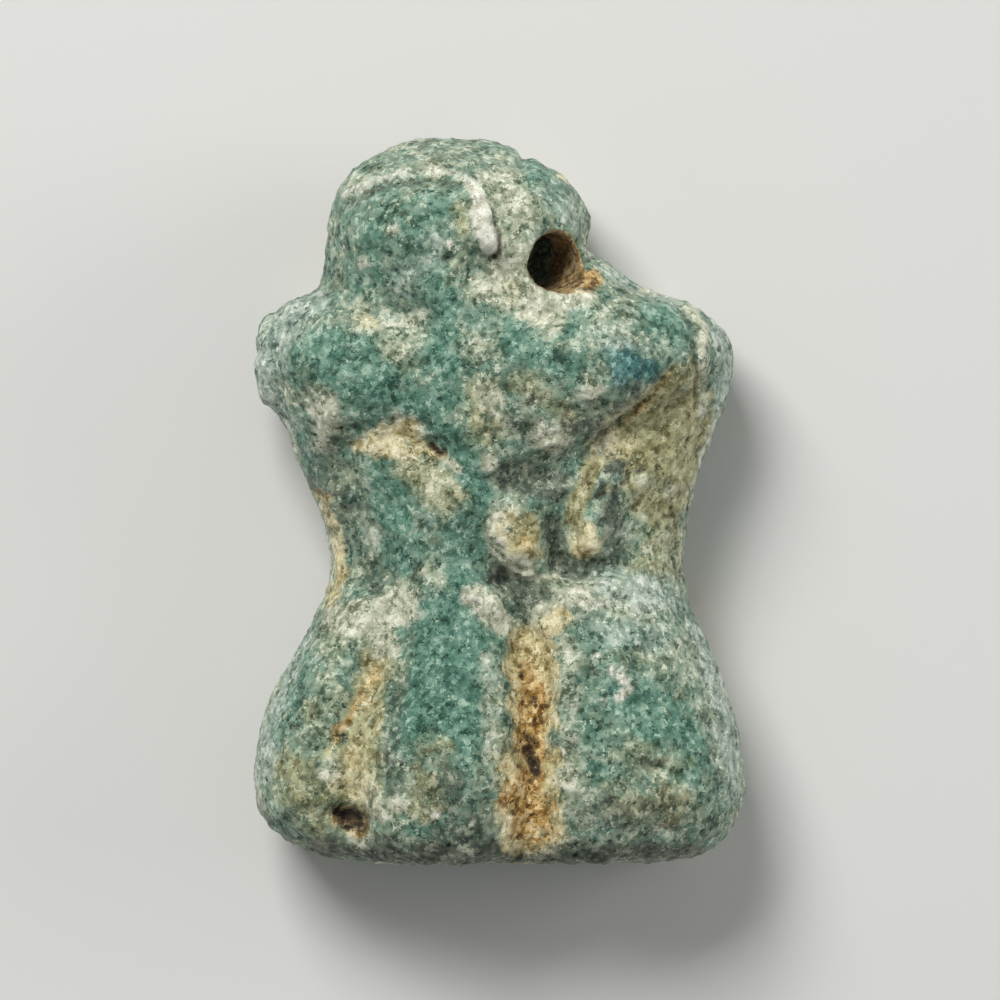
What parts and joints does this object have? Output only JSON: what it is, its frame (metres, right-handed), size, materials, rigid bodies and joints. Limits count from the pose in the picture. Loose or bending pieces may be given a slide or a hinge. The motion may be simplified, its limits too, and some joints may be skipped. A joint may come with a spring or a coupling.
{
  "type": "phallic amulet",
  "caption": "Small worn blue-green faience amulet with a rounded knob, two shoulder lobes, a waist and a flared ribbed foot, bored through the neck for a string, lying on its flat back.",
  "frame": {"origin": "under the middle of the amulet, on the surface that its flat back rests on", "axes": "+X to the right of the relief, +Y from the foot to the knob, +Z out of the relief"},
  "size_m": [0.0136, 0.02, 0.0068],
  "materials": {
    "faience": "worn matt blue-green glaze over a sandy cream body, with ochre and brown soil in the hollows"
  },
  "bodies": {
    "root": {"amulet": "faience"}
  },
  "joints": []
}
